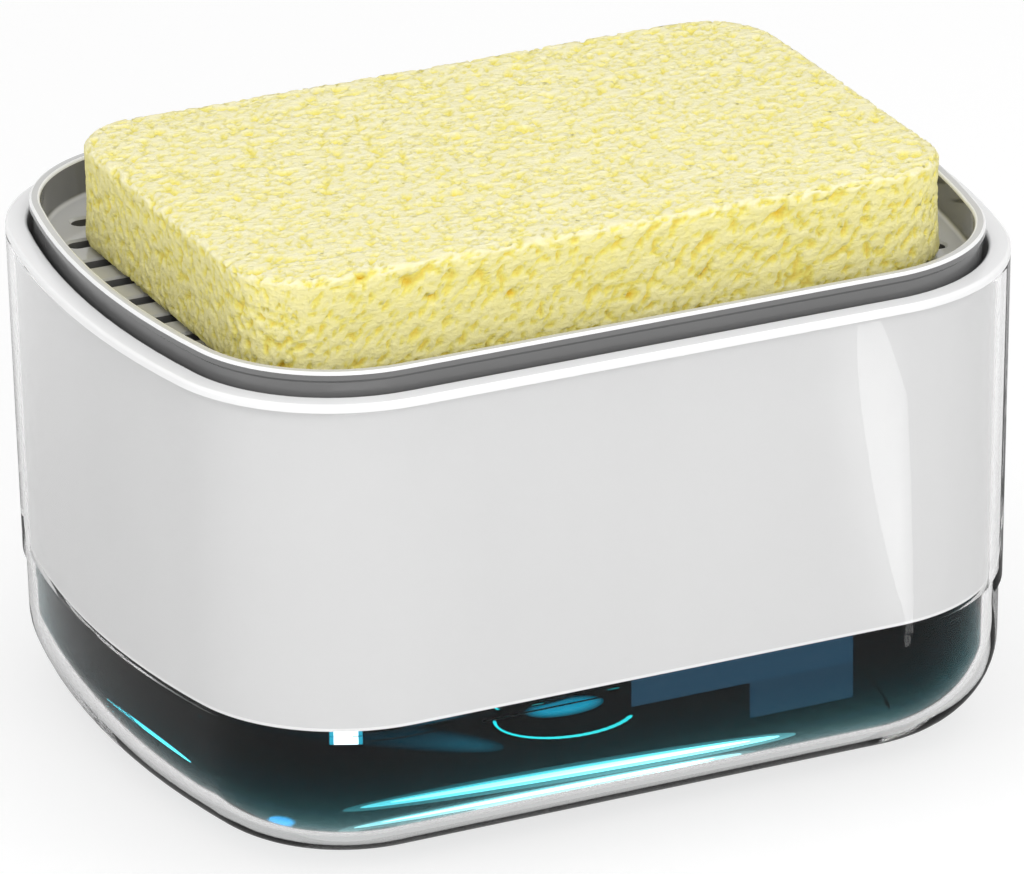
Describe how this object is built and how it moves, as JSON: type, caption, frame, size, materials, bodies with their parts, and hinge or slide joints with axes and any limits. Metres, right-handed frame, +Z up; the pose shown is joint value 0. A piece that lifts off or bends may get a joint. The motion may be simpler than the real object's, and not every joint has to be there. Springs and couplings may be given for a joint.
{
  "type": "soap pump caddy",
  "caption": "Countertop soap pump caddy: clear soap tank with a white drop-in insert, a press pump, a slotted grey press tray and a cellulose sponge resting in it.",
  "frame": {"origin": "centre of the base, on the surface that the caddy stands on", "axes": "+Z up, +X along the long side to the right as seen from the front, -Y to the front"},
  "size_m": [0.135, 0.105, 0.0867],
  "materials": {
    "clear_plastic": "clear, polished",
    "soap": "liquid, dark blue-green, see-through",
    "white_gloss": "glossy white moulded plastic",
    "white_matte": "satin white moulded plastic",
    "natural_plastic": "milky natural polypropylene",
    "clear_silicone": "pale silicone",
    "seal_rubber": "dark moulded rubber",
    "steel": "plain stainless steel",
    "grey_gloss": "metallised grey, glossy, bright lip",
    "grey_satin": "satin grey",
    "cellulose": "open-pored pale yellow cellulose sponge"
  },
  "bodies": {
    "tank_body": {"tank": "clear_plastic", "soap_fill": "soap"},
    "insert": {"sleeve": "white_gloss", "rim_gasket": "clear_silicone", "pump_deck": "white_gloss", "pump_gasket": "seal_rubber", "pump_chamber": "natural_plastic", "stem_guide": "natural_plastic", "lock_ring": "white_matte", "dip_tube": "natural_plastic", "suction_foot": "natural_plastic", "return_spring": "steel"},
    "inlet_valve": {"inlet_ball": "steel"},
    "plunger": {"stem": "white_matte", "piston": "seal_rubber", "piston_seat": "natural_plastic", "pump_head": "white_matte"},
    "outlet_valve": {"outlet_ball": "steel"},
    "press_tray": {"tray": "grey_gloss", "nozzle": "grey_satin"},
    "sponge_block": {"sponge": "cellulose"}
  },
  "joints": [
    {"name": "insert_lift", "type": "slide", "parent": "tank_body", "child": "insert", "axis": [0, 0, 1], "range_m": [0, 0.07]},
    {"name": "press", "type": "slide", "parent": "insert", "child": "plunger", "axis": [0, 0, -1], "range_m": [0, 0.008], "stiffness_N_per_m": 800, "springref_m": -0.004, "deforming": ["return_spring"]},
    {"name": "inlet_ball_lift", "type": "slide", "parent": "insert", "child": "inlet_valve", "axis": [0, 0, 1], "range_m": [0, 0.0015]},
    {"name": "outlet_ball_lift", "type": "slide", "parent": "plunger", "child": "outlet_valve", "axis": [0, 0, 1], "range_m": [0, 0.0012]},
    {"name": "tray_lift_off", "type": "slide", "parent": "plunger", "child": "press_tray", "axis": [0, 0, 1], "range_m": [0, 0.03]},
    {"name": "sponge_lift", "type": "slide", "parent": "press_tray", "child": "sponge_block", "axis": [0, 0, 1], "range_m": [0, 0.04]}
  ]
}
